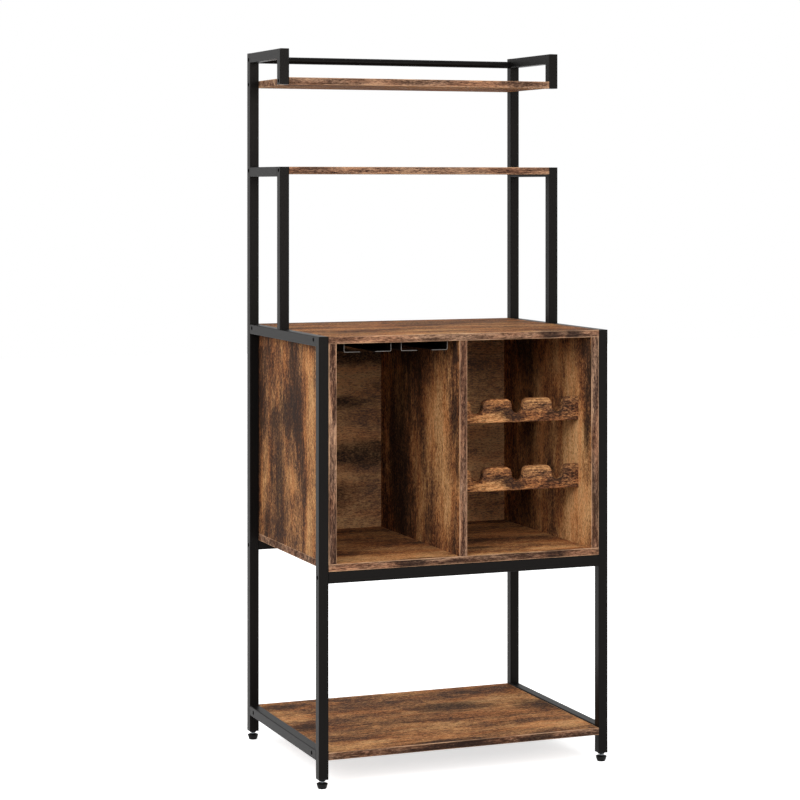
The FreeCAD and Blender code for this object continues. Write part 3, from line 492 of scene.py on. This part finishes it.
def moulded_plastic(name, grain_mm):
    """Injection-moulded polyamide, spark-eroded grain: near black and dull."""
    look = bpy.context.scene.shelving_metal
    material, tree = new_material(name)
    place = add(tree, "TexCoord", out="Object")
    grain = grained(tree, place, (grain_mm,) * 3, (3, 3, 1), detail=3.0, roughness=0.7)
    dusty = add(tree, "MapRange", {"Value": grain, "From Min": 0.3, "From Max": 0.75, "To Max": 0.5})
    colour = add(tree, "Mix", {"Factor": dusty, MIX_A: look.plastic, MIX_B: linear("#111010")},
                 out=MIXED, data_type="RGBA")
    rough = add(tree, "MapRange", {"Value": grain, "From Min": 0.3, "From Max": 0.7, "To Min": 0.42,
                                   "To Max": 0.6})
    finish_surface(tree, colour, rough, grain, 0.05, {"Specular IOR Level": 0.12})
    return material


def beech_dowel(name):
    """Fluted beech dowel, planed: pale pinkish tan with short flecks."""
    material, tree = new_material(name)
    place = add(tree, "TexCoord", out="Object")
    fleck = grained(tree, place, (6, 0.8, 0.8), (2, 2, 2), detail=3.0, roughness=0.6)
    flecked = add(tree, "MapRange", {"Value": fleck, "From Min": 0.4, "From Max": 0.65})
    colour = add(tree, "Mix", {"Factor": flecked, MIX_A: linear("#d8b98f"), MIX_B: linear("#b98f63")},
                 out=MIXED, data_type="RGBA")
    finish_surface(tree, colour, 0.6, fleck, 0.05)
    return material


def wear(node, material):
    """Gives a CAD node its finish."""
    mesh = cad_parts[node].data
    mesh.materials.clear()
    mesh.materials.append(material)


# Modelling
def select(pieces):
    """Selects these pieces and no others, and makes the first one active."""
    if bpy.context.object and bpy.context.object.mode != "OBJECT":
        bpy.ops.object.mode_set(mode="OBJECT")
    bpy.ops.object.select_all(action="DESELECT")
    for piece in pieces:
        piece.select_set(True)
    if pieces:
        bpy.context.view_layer.objects.active = pieces[0]


def copy_at(piece, place):
    """A copy of a piece with a mesh of its own, at a place."""
    copy = piece.copy()
    copy.data = piece.data.copy()
    copy.location = place
    bpy.context.collection.objects.link(copy)
    return copy


def join(pieces):
    """One object out of several."""
    select(pieces)
    bpy.ops.object.join()
    return bpy.context.object


def apply_modifiers(piece):
    """Turns a piece's modifiers into mesh."""
    select([piece])
    for modifier in list(piece.modifiers):
        bpy.ops.object.modifier_apply(modifier=modifier.name)


def settle(piece, name, material, body):
    """Fixes a finished piece's place in its mesh, names it, and hangs it on its CAD body."""
    select([piece])
    bpy.ops.object.transform_apply(location=True, rotation=True, scale=True)
    piece.name = name
    piece.data.name = name
    piece.data.materials.clear()
    piece.data.materials.append(material)
    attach(piece, body)


class SHELVING_OT_stage(bpy.types.Operator):
    """Adds the paper floor, the room, the soft lights and the camera"""
    bl_idname = "shelving.stage"
    bl_label = "Stage"

    def seen(self, tree):
        """One where the camera looks, straight or through gloss and glass."""
        path = add(tree, "LightPath", out=None)
        gloss = add(tree, "Math", {0: path["Is Glossy Ray"], 1: path["Is Transmission Ray"]},
                    operation="MAXIMUM")
        return add(tree, "Math", {0: path["Is Camera Ray"], 1: gloss}, operation="MAXIMUM")

    def floor(self, stage):
        """Pale paper that looks white, also in gloss, and keeps the unit's shadow."""
        bpy.ops.mesh.primitive_plane_add(size=FLOOR_WIDTH, location=(0, 0, 0))
        floor = bpy.context.object
        floor.name = "paper_floor"
        material, tree = new_material("white_paper")
        paper = add(tree, "BsdfDiffuse", {"Color": stage.paper})
        bright = add(tree, "BsdfDiffuse", {"Color": (0.9, 0.9, 0.9, 1)})
        glow = add(tree, "Emission", {"Color": (1, 1, 1, 1), "Strength": stage.glow})
        lifted = add(tree, "AddShader", {0: bright, 1: glow})
        surface = add(tree, "MixShader", {0: self.seen(tree), 1: paper, 2: lifted})
        add(tree, "OutputMaterial", {"Surface": surface}, out=None)
        floor.data.materials.append(material)

    def room(self, stage):
        """A room that is white behind the unit, bright overhead and dim at eye level."""
        world = bpy.data.worlds.new("soft_room")
        world.use_nodes = True
        tree = world.node_tree
        tree.nodes.clear()
        direction = add(tree, "TexCoord", out="Generated")
        height = add(tree, "SeparateXYZ", {"Vector": direction}, out="Z")
        level = add(tree, "MapRange", {"Value": height, "From Min": 0.0, "From Max": 0.9,
                                       "To Min": stage.horizon, "To Max": stage.zenith},
                    interpolation_type="SMOOTHSTEP")
        level = add(tree, "Math", {0: level, 1: self.seen(tree)}, operation="MAXIMUM")
        sky = add(tree, "Background", {"Color": (1, 1, 1, 1), "Strength": level})
        add(tree, "OutputWorld", {"Surface": sky}, out=None)
        bpy.context.scene.world = world

    def execute(self, context):
        stage = context.scene.shelving_stage
        select([])
        self.floor(stage)
        self.room(stage)

        for name, place, width in LIGHTS:
            bpy.ops.object.light_add(type="AREA", location=place)
            lamp = context.object
            lamp.name = "soft_" + name
            lamp.data.shape = "SQUARE"
            lamp.data.size = width
            lamp.data.energy = getattr(stage, name)
            lamp.rotation_euler = (LIGHTS_AIM - Vector(place)).to_track_quat("-Z", "Y").to_euler()

        bpy.ops.object.camera_add(location=stage.eye, rotation=(math.radians(90), 0, -stage.turn))
        camera = context.object
        camera.data.sensor_width = SENSOR_WIDTH_MM
        camera.data.lens = stage.lens
        camera.data.shift_y = stage.shift
        camera.data.clip_end = SIGHT
        context.scene.camera = camera
        context.scene.view_settings.view_transform = "Standard"
        return {"FINISHED"}


class SHELVING_OT_frame(bpy.types.Operator):
    """Coats the steel tubes, their closing plates and the stemware rails"""
    bl_idname = "shelving.frame"
    bl_label = "Frame finish"

    def execute(self, context):
        coat = powder_coat("powder_coated_steel_tube", context.scene.shelving_metal.coat_grain, 0.4)
        pairs = ("front_post", "rear_upright", "mid_post", "guard_top_rail", "guard_drop",
                 "second_shelf_rail", "cabinet_top_rail", "bottom_rail")
        for node in [f"{pair}_{side}" for pair in pairs for side in SIDES]:
            wear(node, coat)
        for node in ("front_cross_rail", "rear_cross_rail", "guard_rear_bar", "tube_closing_plates"):
            wear(node, coat)
        # The stemware rails' front ends get a painted highlight
        sheet = powder_coat("powder_coated_folded_sheet", 0.9, 0.38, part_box("stemware_rail_middle")[0].y)
        for place in ("left", "middle", "right"):
            wear("stemware_rail_" + place, sheet)
        return {"FINISHED"}


class SHELVING_OT_boards(bpy.types.Operator):
    """Prints and tapes the boards, panels and bottle rails"""
    bl_idname = "shelving.boards"
    bl_label = "Board finish"

    def execute(self, context):
        for node, print_of_board in BOARDS.items():
            wear(node, rustic_board("rustic_oak_print_" + node, node, **print_of_board))

        # Both racks are cut from one print, so the pattern is measured from the rail's underside
        for level in ("lower", "upper"):
            node = "neck_rail_" + level
            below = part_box(node)[0].z
            charred, honey = [[(x, -below / MM - height, half_length, half_width)
                               for x, height, half_length, half_width in spots]
                              for spots in (RACK_CHARRED, RACK_HONEY)]
            rack = rustic_board("rustic_oak_print_bottle_rails_" + level, node, "X upright",
                                (13.5, 0.6 + below, 0.4), -0.03, charred_and_shade_spots=charred,
                                honey_and_light_spots=honey)
            wear(node, rack)
            wear("body_rail_" + level, rack)
        return {"FINISHED"}


class SHELVING_OT_small_parts(bpy.types.Operator):
    """Finishes bolts, inserts, plugs, dowels and feet"""
    bl_idname = "shelving.small_parts"
    bl_label = "Small parts finish"

    def execute(self, context):
        oxide = black_oxide("black_oxide_steel")
        zinc = zinc_plate("bright_zinc_steel")
        plastic = moulded_plastic("moulded_black_polyamide", 0.6)
        beech = beech_dowel("planed_beech")
        for node in ("frame_bolts_left", "frame_bolts_right", "cabinet_floor_screws", "stemware_screws"):
            wear(node, oxide)
        for node in ("board_inserts_left", "board_inserts_right"):
            wear(node, zinc)
        for node in ("carcass_dowels", "bottle_rail_dowels"):
            wear(node, beech)
        wear("rail_nut_plugs", plastic)
        for corner in CORNERS:
            wear("foot_insert_" + corner, plastic)
            wear("levelling_pad_" + corner, plastic)
            wear("levelling_stud_" + corner, zinc)
        return {"FINISHED"}


class SHELVING_OT_studs(bpy.types.Operator):
    """Cuts the thread of the four levelling studs"""
    bl_idname = "shelving.studs"
    bl_label = "Levelling studs"

    def tooth(self, radius, metal):
        """One tooth of the thread, an open strip of three edges one pitch high: flank, crest, flank."""
        bpy.ops.mesh.primitive_plane_add(size=1.0, location=(0, 0, 0))
        tooth = bpy.context.object
        root = radius - metal.thread_depth
        for corner, height, crest in TOOTH:
            tooth.data.vertices[corner].co = (radius if crest else root, 0.0,
                                              (height - 1.0) * metal.thread_pitch)
        bpy.ops.object.mode_set(mode="EDIT")
        bpy.ops.mesh.select_all(action="SELECT")
        bpy.ops.mesh.delete(type="ONLY_FACE")
        bpy.ops.mesh.select_all(action="DESELECT")
        bpy.ops.object.mode_set(mode="OBJECT")
        for edge in tooth.data.edges:
            edge.select = set(edge.vertices) == {0, 2}
        bpy.ops.object.mode_set(mode="EDIT")
        bpy.ops.mesh.select_mode(type="EDGE")
        bpy.ops.mesh.delete(type="EDGE")
        bpy.ops.object.mode_set(mode="OBJECT")
        return tooth

    def execute(self, context):
        metal = context.scene.shelving_metal
        low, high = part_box("levelling_stud_front_left")
        length = high.z - low.z

        # The tooth is swept up past both ends of the stud
        select([])
        stud = self.tooth((high.x - low.x) / 2, metal)
        sweep = stud.modifiers.new("thread", "SCREW")
        sweep.axis = "Z"
        sweep.screw_offset = metal.thread_pitch
        sweep.iterations = math.ceil(length / metal.thread_pitch) + 2
        sweep.steps = THREAD_STEPS_A_TURN
        sweep.render_steps = THREAD_STEPS_A_TURN
        sweep.use_merge_vertices = True
        sweep.merge_threshold = 0.01 * MM
        apply_modifiers(stud)

        # Both ends are cut square and closed. Leaving edit mode after each cut puts the corners in the
        # order that the merge goes by, which decides the corners that it keeps
        for height, upper in ((0.0, False), (length, True)):
            bpy.ops.object.mode_set(mode="EDIT")
            bpy.ops.mesh.select_all(action="SELECT")
            bpy.ops.mesh.bisect(plane_co=(0, 0, height), plane_no=(0, 0, 1), use_fill=True,
                                clear_inner=not upper, clear_outer=upper)
            bpy.ops.object.mode_set(mode="OBJECT")
        bpy.ops.object.mode_set(mode="EDIT")
        bpy.ops.mesh.select_all(action="SELECT")
        bpy.ops.mesh.remove_doubles(threshold=0.002 * MM)
        bpy.ops.mesh.normals_make_consistent(inside=False)
        bpy.ops.object.mode_set(mode="OBJECT")
        bpy.ops.object.shade_smooth_by_angle(angle=math.radians(25))

        for corner in CORNERS:
            node = "levelling_stud_" + corner
            low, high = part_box(node)
            copy = copy_at(stud, ((low.x + high.x) / 2, (low.y + high.y) / 2, low.z))
            settle(copy, "threaded_stud_" + corner, bpy.data.materials["bright_zinc_steel"],
                   "foot_" + corner)
            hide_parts(node)
        bpy.data.objects.remove(stud)
        return {"FINISHED"}


class SHELVING_OT_welds(bpy.types.Operator):
    """Lays the weld beads at the butt joints of the tubes"""
    bl_idname = "shelving.welds"
    bl_label = "Weld beads"

    def bead(self, start, length, radius):
        """One run along X: overlapping flat drops of weld metal in a row."""
        select([])
        bpy.ops.mesh.primitive_uv_sphere_add(segments=10, ring_count=6, radius=radius, location=start)
        drop = bpy.context.object
        row = drop.modifiers.new("row", "ARRAY")
        row.use_relative_offset = False
        row.use_constant_offset = True
        row.constant_offset_displace = (radius, 0, 0)
        row.count = max(2, int(length / radius) + 1)
        apply_modifiers(drop)
        bpy.ops.object.shade_smooth()
        return drop

    def execute(self, context):
        radius = context.scene.shelving_metal.weld_radius
        coat = bpy.data.materials["powder_coated_steel_tube"]
        for side in SIDES:
            starts = []
            for rail, ends, over in WELDED_ENDS:
                low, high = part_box(f"{rail}_{side}")
                for end in ends:
                    y = (low.y, high.y)[end]
                    starts += [(low.x, high.x, y, z) for z in ((low.z, high.z) if over else (low.z,))]
            low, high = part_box(f"mid_post_{side}")
            starts += [(low.x, high.x, y, low.z) for y in (low.y, high.y)]
            beads = [self.bead((x_low + WELD_END_GAP, y, z), x_high - x_low - 2 * WELD_END_GAP, radius)
                     for x_low, x_high, y, z in starts]
            settle(join(beads), "weld_beads_" + side, coat, "frame")
        return {"FINISHED"}


class SHELVING_OT_screws(bpy.types.Operator):
    """Shapes the pan heads of the screws under the cabinet top and the cabinet floor"""
    bl_idname = "shelving.screws"
    bl_label = "Screw heads"

    def head(self, metal, radius, height):
        """A domed pan head with a cross recess that faces down, its seat at the origin."""
        select([])
        bpy.ops.mesh.primitive_cylinder_add(vertices=32, radius=radius, depth=height,
                                            location=(0, 0, -height / 2))
        head = bpy.context.object
        bpy.ops.object.transform_apply(location=True, rotation=False, scale=False)
        for polygon in head.data.polygons:
            polygon.select = polygon.normal.z < -0.9
        bpy.ops.object.mode_set(mode="EDIT")
        bpy.ops.mesh.select_mode(type="FACE")
        bpy.ops.mesh.bevel(offset=height * 0.55, segments=6, profile=0.5)
        bpy.ops.object.mode_set(mode="OBJECT")
        arms = []
        for turn in (0, math.radians(90)):
            bpy.ops.mesh.primitive_cube_add(size=1.0, location=(0, 0, -height), rotation=(0, 0, turn),
                                            scale=(metal.recess_width, metal.recess_slot, height * 1.2))
            arms.append(bpy.context.object)
        for arm in arms:
            cut = head.modifiers.new("recess", "BOOLEAN")
            cut.operation = "DIFFERENCE"
            cut.object = arm
            cut.solver = "EXACT"
        apply_modifiers(head)
        for arm in arms:
            bpy.data.objects.remove(arm)
        bpy.ops.object.shade_smooth_by_angle(angle=math.radians(35))
        return head

    def execute(self, context):
        metal = context.scene.shelving_metal
        oxide = bpy.data.materials["black_oxide_steel"]
        radius = SCREW_HEAD_RADIUS
        height = SCREW_HEAD_HEIGHT
        # Each set of screws stands in three columns, with as many rows as given here
        for place, rows in (("stemware", 3), ("cabinet_floor", 2)):
            low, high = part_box(place + "_screws")
            xs = [low.x + radius, (low.x + high.x) / 2, high.x - radius]
            gap = (high.y - low.y - 2 * radius) / (rows - 1)
            ys = [low.y + radius + gap * row for row in range(rows)]
            head = self.head(metal, radius, height)
            heads = join([copy_at(head, (x, y, low.z + height)) for x in xs for y in ys])
            bpy.data.objects.remove(head)
            settle(heads, place + "_screw_heads", oxide, "frame")
            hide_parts(place + "_screws")
        return {"FINISHED"}


class SHELVING_PT_panel(bpy.types.Panel):
    """Lists the steps that finish the shelving unit"""
    bl_idname = "SHELVING_PT_panel"
    bl_label = "Shelving unit"
    bl_space_type = "VIEW_3D"
    bl_region_type = "UI"
    bl_category = "Shelving"

    def draw(self, context):
        layout = self.layout
        for step in OPERATORS:
            layout.operator(step.bl_idname)
        for group in GROUPS:
            settings = getattr(context.scene, group)
            box = layout.box()
            for name in settings.__annotations__:
                box.prop(settings, name)


GROUPS = {"shelving_boards": SHELVING_PG_boards, "shelving_metal": SHELVING_PG_metal,
          "shelving_stage": SHELVING_PG_stage}
OPERATORS = (SHELVING_OT_stage, SHELVING_OT_frame, SHELVING_OT_boards, SHELVING_OT_small_parts,
             SHELVING_OT_studs, SHELVING_OT_welds, SHELVING_OT_screws)


def register():
    for kind in (*GROUPS.values(), *OPERATORS, SHELVING_PT_panel):
        bpy.utils.register_class(kind)
    for name, group in GROUPS.items():
        setattr(bpy.types.Scene, name, PointerProperty(type=group))


def unregister():
    for name in GROUPS:
        delattr(bpy.types.Scene, name)
    for kind in (SHELVING_PT_panel, *reversed(OPERATORS), *reversed(GROUPS.values())):
        bpy.utils.unregister_class(kind)


def main():
    register()
    bpy.ops.shelving.stage()
    bpy.ops.shelving.frame()
    bpy.ops.shelving.boards()
    bpy.ops.shelving.small_parts()
    bpy.ops.shelving.studs()
    bpy.ops.shelving.welds()
    bpy.ops.shelving.screws()


if __name__ == "__main__":
    main()
